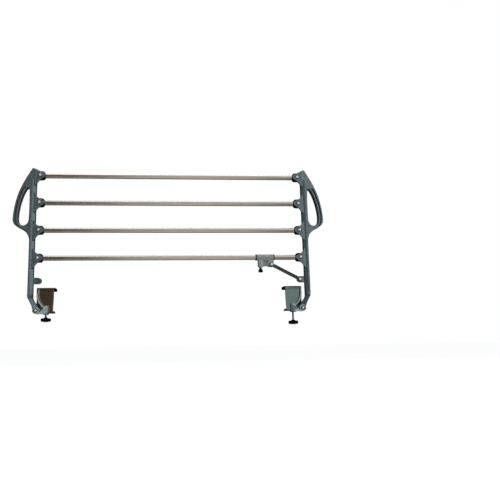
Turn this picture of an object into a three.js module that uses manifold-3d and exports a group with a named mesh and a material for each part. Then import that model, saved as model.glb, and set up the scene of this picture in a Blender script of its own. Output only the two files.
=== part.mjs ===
// Folding bed guard rail.
//
// Two cast aluminium posts with D-shaped grab handles carry four horizontal
// stainless tubes. Every tube is pinned to both posts, so the rail is a
// parallelogram that folds sideways and down over two pivots, one on each of
// the two C-clamps that grip the side rail of a bed. A brace link runs from a
// lug on the right post to a slider on the lowest tube, and a sprung pull
// knob under the slider locks it.
//
// Units are millimetres. +X runs along the rail to the right, +Y goes from the
// room towards the bed and +Z is up. The model is laid out in a working frame
// (X = 0 half way between the posts, Y = 0 on the tube axes, Z = 0 on the fold
// pivots) and the whole group is then moved so that its origin is the middle
// of the seat under the left clamp's upper jaw.

import * as THREE from 'three';
import { mergeVertices } from 'three/addons/utils/BufferGeometryUtils.js';
import Module from 'manifold-3d';

// ---------------------------------------------------------------- dimensions
const HALF_SPAN = 500;          // joint line of each post, from the middle
const TUBE_Z = [517.5, 410.5, 303.5, 196.5]; // tube axes above the fold pivots, top first
const TUBE_R = 9.5;             // 19 mm tube
const TUBE_BORE_R = 8.4;
const TUBE_END = 17.6;          // tube end, inward of the joint line

const POST_Y0 = -16;            // post casting, front face
const POST_Y1 = 6;              // post casting, rear face
const POST_INNER = 13.4;        // shaft's inner edge, outward of the joint line
const POST_OUTER = 33.4;        // shaft's outer edge
const POST_BEVEL = 2.5;
const CHEEK_Y1 = -10;           // rear face of the joint cheeks
const BOSS_Y0 = -17.8;          // front face of the raised ring round each joint screw
const BOSS_R = 9.6;
const POCKET_R = 19;            // room behind a cheek for the turning knuckle

const KNUCKLE_R = 16.8;
const KNUCKLE_Y0 = -9.7;
const KNUCKLE_Y1 = 7.5;
const PIN_HOLE_R = 4.3;
const PIN_R = 4.0;

const EYE_R = 12;               // fold pivot eye at the foot of the leg
const EYE_CLEAR_R = 13.8;       // the leg is stepped in round the eye, to fit the clevis
const EYE_Y0 = -12;
const EYE_Y1 = 2;
const EYE_HOLE_R = 7;
const FOLD_BOLT_R = 4.9;

const LUG_W = -6;               // brace lug pin, outward of the joint line
const LUG_H = 110;              // and above the fold pivots
const LUG_R = 11;
const LUG_Y0 = -8;
const LUG_Y1 = 0;

const SLIDER_FROM = 101;        // slider ends, inward of the joint line
const SLIDER_TO = 175;
const SLIDER_R = 12;
const SLIDER_PIN = 115;         // brace pin on the slider
const SLIDER_PIN_DROP = 29;     // below the tube axis
const SLIDER_FLOOR = 38;        // underside of the slider, below the tube axis
const LATCH_AT = 156;           // pull knob axis, inward of the joint line
const FOLDED_SHIFT = 91.5;      // slider travel between upright and folded

const LINK_Y0 = -15.5;
const LINK_Y1 = -8.5;
const LINK_HALF = 6.5;

const CLAMP_FROM = -5;          // clamp casting, inward of the joint line
const CLAMP_TO = 58;
const CLAMP_TO_LOW = 56;        // narrower at its foot
const WEB_Y0 = 18;
const WEB_Y1 = 24;
const JAW_Y1 = 69;
const JAW_TOP = 87.5;           // crown of the rolled corner
const JAW_STEP = 84.5;          // top of the jaw under its sleeve
const JAW_LOW = 79;
const FLANGE_TOP = 0;
const FLANGE_LOW = -8;
const SCREW_U = 26;             // clamp screw axis, inward of the joint line
const SCREW_Y = 42;
const SEAT_Z = 75.5;             // underside of the rubber sleeve on the jaw
const LEFT_SCREW_TOP = 32;      // pressure pad top face, as the rail stands
const RIGHT_SCREW_TOP = 12;
const SCREW_REACH = 55;         // pressure pad top face to top of the knob

const ORIGIN = [-HALF_SPAN + SCREW_U, 50, SEAT_Z];

// Outer outline of the grab handle, (outward, up) from the joint line's foot.
const HANDLE_OUTER = [
  [33.5, 538], [41.8, 524], [51.2, 508], [59.8, 491.5], [67.7, 475], [74.7, 459],
  [80.7, 442], [85.3, 426], [89, 410], [92.4, 393], [94.8, 376], [96.4, 360],
  [97.2, 346], [96.6, 335], [92.6, 326], [85, 318.5], [73, 311], [59.5, 303.8],
  [47.5, 295], [40.4, 286.5], [36.4, 277], [34.2, 268],
];
// Finger opening of the handle.
const HANDLE_INNER = [
  [39, 463.5], [42.8, 466.2], [46.6, 464.6], [50.5, 459], [58.2, 443], [63.7, 427],
  [68.5, 411], [72.2, 395], [74.9, 378], [76.7, 361], [76.9, 347], [75.6, 335.5],
  [71.8, 327.5], [65.5, 322], [58.5, 320], [51, 321.6], [44.8, 326.2], [40.2, 333],
  [38, 344], [37.3, 370], [37.3, 430],
];

// ---------------------------------------------------------------- materials
const mat = (color, roughness, metalness) =>
  new THREE.MeshStandardMaterial({ color, roughness, metalness });
const M = {
  paint: mat(0x4b585c, 0.45, 0.35),
  clampPaint: mat(0x647a76, 0.45, 0.35),
  stainless: mat(0xb9aea2, 0.18, 1.0),
  bright: mat(0xc9ccce, 0.25, 1.0),
  nylon: mat(0x15161a, 0.5, 0.0),
  rubber: mat(0x101012, 0.85, 0.0),
  zinc: mat(0x9fa3a6, 0.35, 0.9),
  slider: mat(0x7f868a, 0.4, 0.5),
  collar: mat(0x4a3f42, 0.55, 0.0),
};

// ---------------------------------------------------------------- solid tools
const wasm = await Module();
wasm.setup();

function toSolid(geometry) {
  const g = geometry.clone();
  g.deleteAttribute('normal');
  g.deleteAttribute('uv');
  const m = mergeVertices(g, 1e-4);
  return new wasm.Manifold(new wasm.Mesh({
    numProp: 3,
    vertProperties: new Float32Array(m.attributes.position.array),
    triVerts: new Uint32Array(m.index.array),
  }));
}

function toGeometry(solid) {
  const mesh = solid.getMesh();
  const g = new THREE.BufferGeometry();
  const n = mesh.numProp;
  const count = mesh.vertProperties.length / n;
  const pos = new Float32Array(count * 3);
  for (let i = 0; i < count; i++) {
    for (let k = 0; k < 3; k++) pos[i * 3 + k] = mesh.vertProperties[i * n + k];
  }
  g.setAttribute('position', new THREE.BufferAttribute(pos, 3));
  g.setIndex(new THREE.BufferAttribute(new Uint32Array(mesh.triVerts), 1));
  const flat = g.toNonIndexed();
  flat.computeVertexNormals();
  return flat;
}

const union = (...s) => s.reduce((a, b) => a.add(b));
const cut = (a, ...s) => s.reduce((x, b) => x.subtract(b), a);

// Side helpers: w runs outward from a post's joint line.
const LEFT = { name: 'left', x: (w) => -HALF_SPAN - w, out: -1 };
const RIGHT = { name: 'right', x: (w) => HALF_SPAN + w, out: 1 };

// Outlines run counter-clockwise and holes clockwise, whichever hand they are.
function turned(pts, ccw) {
  const v = pts.map(([a, b]) => new THREE.Vector2(a, b));
  return (THREE.ShapeUtils.area(v) > 0) === ccw ? v : v.reverse();
}
const shapeOf = (pts) => new THREE.Shape(turned(pts, true));

// Plate: an outline in X and Z with a thickness in Y.
function plate(pts, y0, y1, { holes = [], bevel = 0, segments = 1 } = {}) {
  const shape = shapeOf(pts);
  for (const h of holes) shape.holes.push(new THREE.Path(turned(h, false)));
  const g = new THREE.ExtrudeGeometry(shape, {
    depth: (y1 - y0) - 2 * bevel, steps: 1, curveSegments: 12,
    bevelEnabled: bevel > 0, bevelThickness: bevel, bevelSize: bevel,
    bevelOffset: -bevel, bevelSegments: segments,
  });
  g.translate(0, 0, bevel);
  g.rotateX(Math.PI / 2);
  g.translate(0, y1, 0);
  return toSolid(g);
}

// Bar: an outline in Y and Z with a length in X.
function bar(pts, x0, x1) {
  const g = new THREE.ExtrudeGeometry(shapeOf(pts), { depth: x1 - x0, steps: 1, bevelEnabled: false });
  // shape (a, b) with depth c becomes (x = c, y = a, z = b)
  g.applyMatrix4(new THREE.Matrix4().set(0, 0, 1, x0, 1, 0, 0, 0, 0, 1, 0, 0, 0, 0, 0, 1));
  return toSolid(g);
}

function box(x0, x1, y0, y1, z0, z1) {
  const g = new THREE.BoxGeometry(x1 - x0, y1 - y0, z1 - z0);
  g.translate((x0 + x1) / 2, (y0 + y1) / 2, (z0 + z1) / 2);
  return toSolid(g);
}

// Column: an outline in X and Y with a height in Z.
function column(pts, z0, z1) {
  const g = new THREE.ExtrudeGeometry(shapeOf(pts), { depth: z1 - z0, steps: 1, bevelEnabled: false });
  g.translate(0, 0, z0);
  return toSolid(g);
}

function rodY(r, y0, y1, x, z, n = 24) {
  const g = new THREE.CylinderGeometry(r, r, y1 - y0, n);
  g.translate(x, (y0 + y1) / 2, z);
  return toSolid(g);
}

function rodX(r, x0, x1, y, z, n = 24) {
  const g = new THREE.CylinderGeometry(r, r, x1 - x0, n);
  g.rotateZ(Math.PI / 2);
  g.translate((x0 + x1) / 2, y, z);
  return toSolid(g);
}

function rodZ(r, z0, z1, x, y, n = 24) {
  const g = new THREE.CylinderGeometry(r, r, z1 - z0, n);
  g.rotateX(Math.PI / 2);
  g.translate(x, y, (z0 + z1) / 2);
  return toSolid(g);
}

// Turned piece about an axis along Y: profile of (radius, y), on the axis at
// both ends or closed on itself.
function turnedY(profile, x, z, n = 20) {
  const g = new THREE.LatheGeometry(profile.map(([r, y]) => new THREE.Vector2(r, y)), n);
  g.translate(x, 0, z);
  return orient(g);
}

// Turned piece about an axis along Z: profile of (radius, z).
function turnedZ(profile, x, y, n = 20) {
  const g = new THREE.LatheGeometry(profile.map(([r, z]) => new THREE.Vector2(r, z)), n);
  g.rotateX(Math.PI / 2);
  g.translate(x, y, 0);
  return orient(g);
}

// A lathe's faces point in or out with the sense of its profile: turn them out.
function orient(g) {
  const s = toSolid(g);
  if (s.volume() > 0) return s;
  const flipped = mergeVertices((() => { const c = g.clone(); c.deleteAttribute('normal'); c.deleteAttribute('uv'); return c; })(), 1e-4);
  const idx = flipped.index.array;
  for (let i = 0; i < idx.length; i += 3) { const t = idx[i]; idx[i] = idx[i + 1]; idx[i + 1] = t; }
  return new wasm.Manifold(new wasm.Mesh({
    numProp: 3,
    vertProperties: new Float32Array(flipped.attributes.position.array),
    triVerts: new Uint32Array(idx),
  }));
}

function hexY(across, y0, y1, x, z) {
  return rodY(across / Math.sqrt(3), y0, y1, x, z, 6);
}

const rail = new THREE.Group();
rail.position.set(-ORIGIN[0], -ORIGIN[1], -ORIGIN[2]);

function piece(name, solid, material) {
  const mesh = new THREE.Mesh(toGeometry(solid), material);
  mesh.name = name;
  rail.add(mesh);
  return mesh;
}

// ---------------------------------------------------------------- posts
function post(side) {
  const P = (pts) => pts.map(([w, h]) => [side.x(w), h]);

  // Shaft, leg and handle in one outline.
  const outline = P([
    [-10.6, 5.5], [-4.2, 18], [8, 34], [POST_INNER, 45.5], [POST_INNER, 539.4],
    [20.5, 543.1], [24.6, 545.2], [27.4, 545.6], [29.6, 544.2], [31.4, 541.6],
    ...HANDLE_OUTER,
    [POST_OUTER, 259], [POST_OUTER, 52], [32, 46], [24.6, 33], [16.8, 18], [12, -3.0],
  ]);
  const casting = plate(outline, POST_Y0, POST_Y1, {
    holes: [P(HANDLE_INNER)], bevel: POST_BEVEL, segments: 1,
  });

  // Eye of the fold pivot, narrower than the leg so that it sits in the clevis.
  const eye = rodY(EYE_R, EYE_Y0, EYE_Y1, side.x(0), 0, 22);
  let body = casting;
  body = cut(body,
    rodY(EYE_CLEAR_R, POST_Y0 - 1, EYE_Y0, side.x(0), 0, 20),
    rodY(EYE_CLEAR_R, EYE_Y1, POST_Y1 + 1, side.x(0), 0, 20));
  body = body.add(eye);

  // Joint cheeks with their gussets, one for each tube.
  TUBE_Z.forEach((z, i) => {
    const top = i === 0;
    const gusset = P([
      [18, z - 41], [13.4, z - 38], [8, z - 29], [1, z - 20.8], [-7.5, z - 14],
      [-13.5, z - 10.2], [-18.2, z - 6.2], [-18.6, z + 4.6], [-14, z + 7.6],
      ...(top ? [[-7.5, z + 11.2], [4, z + 17.2], [14, z + 22.2], [18, z + 23.8]]
        : [[-6, z + 11.4], [2.5, z + 15.8], [8, z + 20.5], [11.8, z + 26], [13.4, z + 33], [18, z + 34]]),
    ]);
    body = body.add(plate(gusset, POST_Y0, CHEEK_Y1));
    body = body.add(rodY(BOSS_R, BOSS_Y0, CHEEK_Y1, side.x(0), z, 20));
  });

  // Room for each knuckle behind its cheek, and the screw's hole and recess.
  TUBE_Z.forEach((z) => {
    body = cut(body,
      rodY(POCKET_R, CHEEK_Y1, POST_Y1 + 1, side.x(0), z, 24),
      rodY(PIN_HOLE_R + 0.1, BOSS_Y0 - 1, POST_Y1, side.x(0), z, 12),
      rodY(6.7, BOSS_Y0 - 1, -15, side.x(0), z, 12));
  });

  // Brace lug. Both posts carry it: they are one casting in two hands.
  const lug = union(
    rodY(LUG_R, LUG_Y0, LUG_Y1, side.x(LUG_W), LUG_H, 18),
    plate(P([[LUG_W, LUG_H - LUG_R], [19, LUG_H - LUG_R - 3], [19, LUG_H + LUG_R + 3], [LUG_W, LUG_H + LUG_R]]), LUG_Y0, LUG_Y1));
  body = body.add(lug);
  body = cut(body,
    rodY(3.3, LUG_Y0 - 1, LUG_Y1 + 1, side.x(LUG_W), LUG_H, 10),
    rodY(EYE_HOLE_R, EYE_Y0 - 1, EYE_Y1 + 1, side.x(0), 0, 16));

  piece(`${side.name}_post`, body, M.paint);

  // Nylon bush pressed into the eye.
  piece(`${side.name}_fold_bush`, cut(
    rodY(EYE_HOLE_R - 0.4, EYE_Y0 + 0.1, EYE_Y1 - 0.1, side.x(0), 0, 16),
    rodY(FOLD_BOLT_R + 0.4, EYE_Y0 - 1, EYE_Y1 + 1, side.x(0), 0, 16)), M.nylon);

  TUBE_Z.forEach((z, i) => {
    piece(`${side.name}_joint_screw_${i + 1}`, turnedY([
      [0, -18.9], [3.6, -18.5], [5.2, -16.8], [5.2, -15.3], [PIN_R, -15.3],
      [PIN_R, 13.4], [0, 13.4],
    ], side.x(0), z, 12), M.bright);
    piece(`${side.name}_joint_nut_${i + 1}`, cut(
      hexY(13, KNUCKLE_Y1 + 0.3, 12.8, side.x(0), z),
      rodY(PIN_HOLE_R + 0.1, 5, 15, side.x(0), z, 12)), M.zinc);
  });
}

post(LEFT);
post(RIGHT);

// ---------------------------------------------------------------- tubes
TUBE_Z.forEach((z, i) => {
  const x0 = -HALF_SPAN + TUBE_END;
  const x1 = HALF_SPAN - TUBE_END;
  let tube = cut(rodX(TUBE_R, x0, x1, 0, z, 24), rodX(TUBE_BORE_R, x0 - 1, x1 + 1, 0, z, 18));
  if (i === 3) {
    // Lock holes for the plunger: upright and folded.
    for (const u of [LATCH_AT, LATCH_AT + FOLDED_SHIFT]) {
      tube = cut(tube, rodZ(4.4, z - 14, z - 4, HALF_SPAN - u, 0, 10));
    }
  }
  piece(`tube_${i + 1}`, tube, M.stainless);

  for (const side of [LEFT, RIGHT]) {
    const c = side.x(0);
    const a = side.x(-15);
    const b = side.x(-50);
    // Round boss on the pin, squared off towards the tube into a shoulder that
    // laps just over the tube's end.
    const shoulder = [
      [-2, 16.2], [-11.8, 16.2], [-16.2, 11.8], [-19.2, 5.6],
      [-19.2, -5.6], [-16.2, -11.8], [-11.8, -16.2], [-2, -16.2],
    ].map(([w, h]) => [side.x(w), z + h]);
    const lap = [side.x(-TUBE_END + 0.3), side.x(-25)];
    let k = cut(union(
      rodY(KNUCKLE_R, KNUCKLE_Y0, KNUCKLE_Y1, c, z, 22),
      plate(shoulder, KNUCKLE_Y0, KNUCKLE_Y1)),
      rodX(TUBE_R + 0.3, Math.min(...lap), Math.max(...lap), 0, z, 24));
    k = k.add(rodX(TUBE_BORE_R - 0.5, Math.min(a, b), Math.max(a, b), 0, z, 14));
    k = cut(k, rodY(PIN_HOLE_R + 0.1, -20, 20, c, z, 12));
    piece(`${side.name}_knuckle_${i + 1}`, k, M.nylon);
  }
});

// ---------------------------------------------------------------- clamps
function clamp(side, padTop) {
  const X = (u) => side.x(-u);
  const P = (pts) => pts.map(([u, h]) => [X(u), h]);
  const lo = (a, b) => Math.min(X(a), X(b));
  const hi = (a, b) => Math.max(X(a), X(b));
  const sx = X(SCREW_U);

  // C-section: upper jaw, web and lower flange, with a rolled upper corner.
  const r = 9;
  const arc = [];
  for (let k = 0; k <= 4; k++) {
    const t = (k / 4) * Math.PI / 2;
    arc.push([WEB_Y0 + r - r * Math.cos(t), JAW_TOP - r + r * Math.sin(t)]);
  }
  const section = [
    [WEB_Y0, FLANGE_LOW], ...arc,
    [30.7, JAW_TOP], [30.7, JAW_STEP], [JAW_Y1, JAW_STEP], [JAW_Y1, JAW_LOW], [WEB_Y1, JAW_LOW],
    [WEB_Y1, FLANGE_TOP], [JAW_Y1, FLANGE_TOP], [JAW_Y1, FLANGE_LOW],
  ];
  let body = bar(section, lo(CLAMP_FROM, CLAMP_TO), hi(CLAMP_FROM, CLAMP_TO));
  body = cut(body, plate(P([[CLAMP_TO, 50], [CLAMP_TO + 5, 50], [CLAMP_TO + 5, -30], [CLAMP_TO_LOW, -30], [CLAMP_TO_LOW, 0]]), 0, 100));

  // Threaded boss under the flange, a round boss at the foot of the web, and a
  // rib that runs down the web's outer edge and curves in to the boss.
  body = body.add(rodZ(11, -13, FLANGE_LOW + 1, sx, SCREW_Y, 16));
  body = body.add(cut(rodZ(9.2, FLANGE_LOW, 18, X(30), 17, 18), box(sx - 20, sx + 20, 23, 60, -40, 60)));
  body = body.add(plate(P([[-4.8, 84], [-4.8, 55], [1.6, 55], [1.6, 84]]), 14, WEB_Y0 + 1));
  body = body.add(plate(P([
    [-4.8, 56], [-2.6, 43], [4.4, 28], [14.6, 14.6], [27, 5], [31, 10.6], [19.6, 19.2],
    [9.8, 31.8], [3.6, 44.8], [1.6, 56],
  ]), 8.4, WEB_Y0 + 1));

  // Arms of the clevis and the shoulder that ties them, past the leg, to the
  // web. The shoulder's front slopes back from the front arm to the boss.
  const neck = P([[0, -12.6], [34, -12], [34, -5], [15.4, -5], [9, -9.5]]);
  for (const [y0, y1] of [[-18.5, EYE_Y0 - 0.3], [EYE_Y1 + 0.3, 8.5]]) {
    body = body.add(rodY(12.7, y0, y1, side.x(0), 0, 20));
    body = body.add(plate(neck, y0, y1));
  }
  const shoulder = plate(P([[15.2, -12], [37, -12], [37, 13], [31, 13], [24.5, 5.5], [19.5, -1.5], [15.2, -5]]), -18.5, WEB_Y0 + 2);
  body = body.add(cut(shoulder, column([[19, -19], [44, 15.6], [44, -19]].map(([u, y]) => [X(u), y]), -20, 20)));
  body = cut(body,
    rodY(5.3, -30, 12, side.x(0), 0, 14),
    rodZ(4.4, -20, 5, sx, SCREW_Y, 12));
  piece(`${side.name}_clamp_body`, body, M.clampPaint);

  // Rubber sleeve pushed over the upper jaw.
  const s0 = lo(CLAMP_FROM - 3, CLAMP_TO + 3);
  const s1 = hi(CLAMP_FROM - 3, CLAMP_TO + 3);
  const j0 = lo(CLAMP_FROM - 0.3, CLAMP_TO + 0.3);
  const j1 = hi(CLAMP_FROM - 0.3, CLAMP_TO + 0.3);
  piece(`${side.name}_jaw_sleeve`, cut(
    box(s0, s1, 31, JAW_Y1 + 3, SEAT_Z, JAW_TOP - 0.2),
    box(j0, j1, 20, JAW_Y1 + 0.3, JAW_LOW - 0.3, JAW_STEP + 0.3)), M.rubber);

  // Fold bolt and its nut.
  piece(`${side.name}_fold_bolt`, turnedY([
    [0, -22.6], [5.5, -22.2], [7.6, -20.4], [7.6, -18.8], [FOLD_BOLT_R, -18.8],
    [FOLD_BOLT_R, 14.4], [0, 14.4],
  ], side.x(0), 0, 16), M.bright);
  piece(`${side.name}_fold_nut`, cut(
    hexY(15, 8.8, 13.8, side.x(0), 0),
    rodY(FOLD_BOLT_R + 0.4, 5, 16, side.x(0), 0, 14)), M.zinc);

  // Clamp screw, its knob below and the swivelling pad above.
  const knobTop = padTop - SCREW_REACH;
  piece(`${side.name}_clamp_screw`, rodZ(3.9, knobTop - 9, padTop - 3.4, sx, SCREW_Y, 12), M.zinc);
  piece(`${side.name}_pressure_pad`, turnedZ([
    [0, padTop], [15, padTop], [15, padTop - 4.5],
    [8, padTop - 8], [4.4, padTop - 8], [4.4, padTop - 3], [0, padTop - 3],
  ], sx, SCREW_Y, 16), M.nylon);

  const lobes = 5;
  const star = [];
  for (let k = 0; k < 30; k++) {
    const t = (k / 30) * 2 * Math.PI;
    const rr = 17.7 + 2.3 * Math.cos(lobes * t);
    star.push(new THREE.Vector2(rr * Math.cos(t), rr * Math.sin(t)));
  }
  const sg = new THREE.ExtrudeGeometry(new THREE.Shape(star), {
    depth: 9, steps: 1, bevelEnabled: true, bevelThickness: 2, bevelSize: 2, bevelOffset: -2, bevelSegments: 1,
  });
  sg.translate(sx, SCREW_Y, knobTop - 15);
  let knob = union(toSolid(sg), rodZ(8.5, knobTop - 8, knobTop, sx, SCREW_Y, 14));
  knob = cut(knob, rodZ(4.4, knobTop - 9.3, knobTop + 2, sx, SCREW_Y, 12));
  piece(`${side.name}_clamp_knob`, knob, M.nylon);
}

clamp(LEFT, LEFT_SCREW_TOP);
clamp(RIGHT, RIGHT_SCREW_TOP);

// ---------------------------------------------------------------- slider
{
  const X = (u) => HALF_SPAN - u;
  const z = TUBE_Z[3];
  const P = (pts) => pts.map(([u, d]) => [X(u), z - d]);

  let body = rodX(SLIDER_R, X(SLIDER_TO - 4), X(SLIDER_FROM + 4), 0, z, 20);
  body = body.add(plate(P([
    [105, 4], [105, 13], [103.8, 16], [104, 34], [108, 37.5], [124, 37.5], [128, 34],
    [143, 34], [147, SLIDER_FLOOR], [164.5, SLIDER_FLOOR], [166, 30], [166, 4],
  ]), -8, 8, { bevel: 1, segments: 1 }));
  body = cut(body,
    rodX(11, X(SLIDER_TO + 5), X(SLIDER_FROM - 5), 0, z, 20),
    // window between the sleeve and the foot
    plate(P([[127, 14], [146, 14], [146, 24], [127, 24]]), -9, -3),
    // plunger bore and the wider spring room, open below
    rodZ(4.4, z - 16, z - 8, X(LATCH_AT), 0, 12),
    rodZ(6.7, z - SLIDER_FLOOR - 1, z - 15, X(LATCH_AT), 0, 16),
    rodY(3.4, -10, 10, X(SLIDER_PIN), z - SLIDER_PIN_DROP, 10));
  piece('slider_body', body, M.slider);

  for (const [name, a, b, c] of [['slider_bush_right', SLIDER_FROM, SLIDER_FROM + 3.7, SLIDER_FROM + 22],
    ['slider_bush_left', SLIDER_TO, SLIDER_TO - 3.7, SLIDER_TO - 10]]) {
    const flange = rodX(SLIDER_R, Math.min(X(a), X(b)), Math.max(X(a), X(b)), 0, z, 20);
    const barrel = rodX(10.6, Math.min(X(a), X(c)), Math.max(X(a), X(c)), 0, z, 20);
    piece(name, cut(flange.add(barrel), rodX(9.95, X(SLIDER_TO + 5), X(SLIDER_FROM - 5), 0, z, 24)), M.collar);
  }

  // Latch: plunger with a collar, spring under the collar, gland and knob.
  const px = X(LATCH_AT);
  piece('latch_plunger', turnedZ([
    [0, z - 9.9], [3, z - 9.9], [3.9, z - 11], [3.9, z - 17], [6.2, z - 17], [6.2, z - 19],
    [2.6, z - 19], [2.6, z - 50], [0, z - 50],
  ], px, 0, 12), M.bright);
  piece('latch_gland', turnedZ([
    [3, z - 33], [6.2, z - 33], [6.2, z - 38.3], [7.6, z - 38.3], [7.6, z - 40.5], [3, z - 40.5], [3, z - 33],
  ], px, 0, 14), M.zinc);
  piece('latch_knob', turnedZ([
    [3, z - 41.5], [4.2, z - 41.5], [4.8, z - 45], [9, z - 52.5], [9, z - 56],
    [7.4, z - 58], [0, z - 58], [0, z - 50.4], [3, z - 50.4], [3, z - 41.5],
  ], px, 0, 16), M.nylon);

  // Compression spring round the plunger.
  class Coil extends THREE.Curve {
    getPoint(t, target = new THREE.Vector3()) {
      const a = t * 2 * Math.PI * 4;
      return target.set(px + 4.7 * Math.cos(a), 4.7 * Math.sin(a), z - 20 - t * 12.2);
    }
  }
  const wire = new THREE.Shape();
  const n = 5;
  for (let k = 0; k < n; k++) {
    const a = (k / n) * 2 * Math.PI;
    if (k === 0) wire.moveTo(0.6 * Math.cos(a), 0.6 * Math.sin(a));
    else wire.lineTo(0.6 * Math.cos(a), 0.6 * Math.sin(a));
  }
  wire.closePath();
  const sg = new THREE.ExtrudeGeometry(wire, { steps: 40, extrudePath: new Coil(), bevelEnabled: false });
  piece('latch_spring', orient(sg), M.bright);
}

// ---------------------------------------------------------------- brace link
{
  const X = (u) => HALF_SPAN - u;
  const up = [X(SLIDER_PIN), TUBE_Z[3] - SLIDER_PIN_DROP];
  const low = [X(-LUG_W), LUG_H];
  const dx = low[0] - up[0];
  const dz = low[1] - up[1];
  const len = Math.hypot(dx, dz);
  const ux = dx / len;
  const uz = dz / len;
  const at = (p, along, across) => [p[0] + ux * along - uz * across, p[1] + uz * along + ux * across];
  let link = plate([at(up, 0, -LINK_HALF), at(low, 0, -LINK_HALF), at(low, 0, LINK_HALF), at(up, 0, LINK_HALF)], LINK_Y0, LINK_Y1);
  link = link.add(rodY(8, LINK_Y0, LINK_Y1, up[0], up[1], 16));
  link = link.add(rodY(8, LINK_Y0, LINK_Y1, low[0], low[1], 16));
  link = cut(link,
    // channel along the front face
    plate([at(up, 12, -3.6), at(low, -12, -3.6), at(low, -12, 3.6), at(up, 12, 3.6)], LINK_Y0 - 1, LINK_Y0 + 2.5),
    rodY(3.4, -20, 0, up[0], up[1], 10),
    rodY(3.4, -20, 0, low[0], low[1], 10));
  piece('brace_link', link, M.zinc);

  piece('link_upper_screw', turnedY([
    [0, -18.9], [3.6, -18.5], [5.2, -17], [5.2, -15.8], [3, -15.8], [3, 13], [0, 13],
  ], up[0], up[1], 12), M.bright);
  piece('link_upper_nut', cut(hexY(10, 8.3, 12.4, up[0], up[1]), rodY(3.4, 5, 15, up[0], up[1], 10)), M.zinc);
  piece('link_lower_screw', turnedY([
    [0, -18.9], [3.6, -18.5], [5.2, -17], [5.2, -15.8], [3, -15.8], [3, -8.4], [0, -8.4],
  ], low[0], low[1], 12), M.bright);
}

export default rail;
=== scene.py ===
# Folding bed guard rail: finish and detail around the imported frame.
#
# Lengths in the modelling code are millimetres in the rail's working layout:
# X = 0 half way between the posts, Y = 0 on the tube axes, Z = 0 on the fold
# pivots, -Y towards the viewer. to_row() turns them into the frame's metres.
import math

import bpy
import numpy as np
from mathutils import Matrix

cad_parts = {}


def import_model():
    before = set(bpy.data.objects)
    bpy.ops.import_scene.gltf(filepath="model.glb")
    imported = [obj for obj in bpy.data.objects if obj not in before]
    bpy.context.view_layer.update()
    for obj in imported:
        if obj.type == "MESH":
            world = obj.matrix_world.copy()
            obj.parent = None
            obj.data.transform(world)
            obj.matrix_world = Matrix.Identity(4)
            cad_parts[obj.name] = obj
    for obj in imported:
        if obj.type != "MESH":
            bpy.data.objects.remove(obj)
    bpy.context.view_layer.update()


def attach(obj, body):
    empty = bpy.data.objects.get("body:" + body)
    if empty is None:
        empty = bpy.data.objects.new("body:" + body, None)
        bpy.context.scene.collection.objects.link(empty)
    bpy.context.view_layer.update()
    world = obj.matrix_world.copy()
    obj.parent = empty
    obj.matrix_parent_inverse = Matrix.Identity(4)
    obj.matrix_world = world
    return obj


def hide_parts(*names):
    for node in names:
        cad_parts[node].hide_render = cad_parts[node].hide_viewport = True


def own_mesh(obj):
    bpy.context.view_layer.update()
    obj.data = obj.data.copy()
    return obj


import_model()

ORIGIN = np.array([-474.0, 50.0, 75.5])
SPAN = 500.0
TUBE_Z = [517.5, 410.5, 303.5, 196.5]
SIDES = (("left", -1), ("right", 1))


def to_row(v):
    return (np.asarray(v, float) - ORIGIN) * 0.001


# --------------------------------------------------------------- camera
CAM_POS = (-45.137, -2086.970, -119.521)
YAW, PITCH, ROLL = 0.079700, 0.163800, -0.015500
FOCAL_PX = 550.0
# the rail stands left of the middle of the picture, so the lens is shifted a little
CENTRE_PX = 202.915


def camera():
    cy, sy, cp, sp = math.cos(YAW), math.sin(YAW), math.cos(PITCH), math.sin(PITCH)
    cr, sr = math.cos(ROLL), math.sin(ROLL)
    fwd = np.array([sy * cp, cy * cp, sp])
    right = np.array([cy, -sy, 0.0])
    up = np.cross(right, fwd)
    r = right * cr + up * sr
    u = -right * sr + up * cr
    m = Matrix.Identity(4)
    for i in range(3):
        m[i][0], m[i][1], m[i][2] = r[i], u[i], -fwd[i]
        m[i][3] = float(to_row(CAM_POS)[i])
    data = bpy.data.cameras.new("camera")
    data.sensor_width = 36.0
    data.lens = FOCAL_PX / 500.0 * 36.0
    data.shift_x = (250.0 - CENTRE_PX) / 500.0
    data.clip_start, data.clip_end = 0.05, 60.0
    cam = bpy.data.objects.new("camera", data)
    bpy.context.scene.collection.objects.link(cam)
    cam.matrix_world = m
    bpy.context.scene.camera = cam


camera()


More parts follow.
